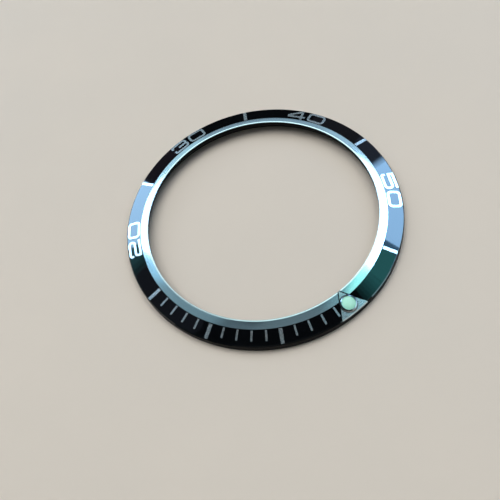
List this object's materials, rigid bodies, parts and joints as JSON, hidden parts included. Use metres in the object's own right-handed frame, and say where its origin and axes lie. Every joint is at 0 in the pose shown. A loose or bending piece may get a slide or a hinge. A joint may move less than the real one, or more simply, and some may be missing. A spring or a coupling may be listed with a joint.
{
  "type": "watch bezel insert",
  "caption": "Sloped insert ring for a diver's watch bezel: gloss black face with metal minute marks, numerals and triangle, a bright inner ring and a luminous pearl.",
  "frame": {"origin": "on the ring's axis, at the level of its flat underside", "axes": "+Z along the axis, out of the face; +Y from the axis to the triangle and its pearl; +X to the wearer's right, at minute 15"},
  "size_m": [0.038, 0.038, 0.0021],
  "materials": {
    "black_gloss": "deep gloss black, as of lacquer or polished ceramic",
    "satin_steel": "satin, turned round the axis",
    "inlay_metal": "fine satin",
    "polished_steel": "polished",
    "lume": "matte, luminous paste"
  },
  "bodies": {
    "root": {"face_ring": "black_gloss", "bright_ring": "satin_steel", "triangle_plate": "inlay_metal", "triangle_tip": "inlay_metal", "pearl_cup": "polished_steel", "pearl_lume": "lume", "long_mark_5": "inlay_metal", "long_mark_10": "inlay_metal", "long_mark_15": "inlay_metal", "long_mark_25": "inlay_metal", "long_mark_35": "inlay_metal", "long_mark_45": "inlay_metal", "long_mark_55": "inlay_metal", "short_mark_1": "inlay_metal", "short_mark_2": "inlay_metal", "short_mark_3": "inlay_metal", "short_mark_4": "inlay_metal", "short_mark_6": "inlay_metal", "short_mark_7": "inlay_metal", "short_mark_8": "inlay_metal", "short_mark_9": "inlay_metal", "short_mark_11": "inlay_metal", "short_mark_12": "inlay_metal", "short_mark_13": "inlay_metal", "short_mark_14": "inlay_metal", "numeral_20_tens": "inlay_metal", "numeral_30_tens": "inlay_metal", "numeral_40_tens": "inlay_metal", "numeral_50_tens": "inlay_metal", "numeral_20_zero": "inlay_metal", "numeral_30_zero": "inlay_metal", "numeral_40_zero": "inlay_metal", "numeral_50_zero": "inlay_metal"}
  },
  "joints": []
}
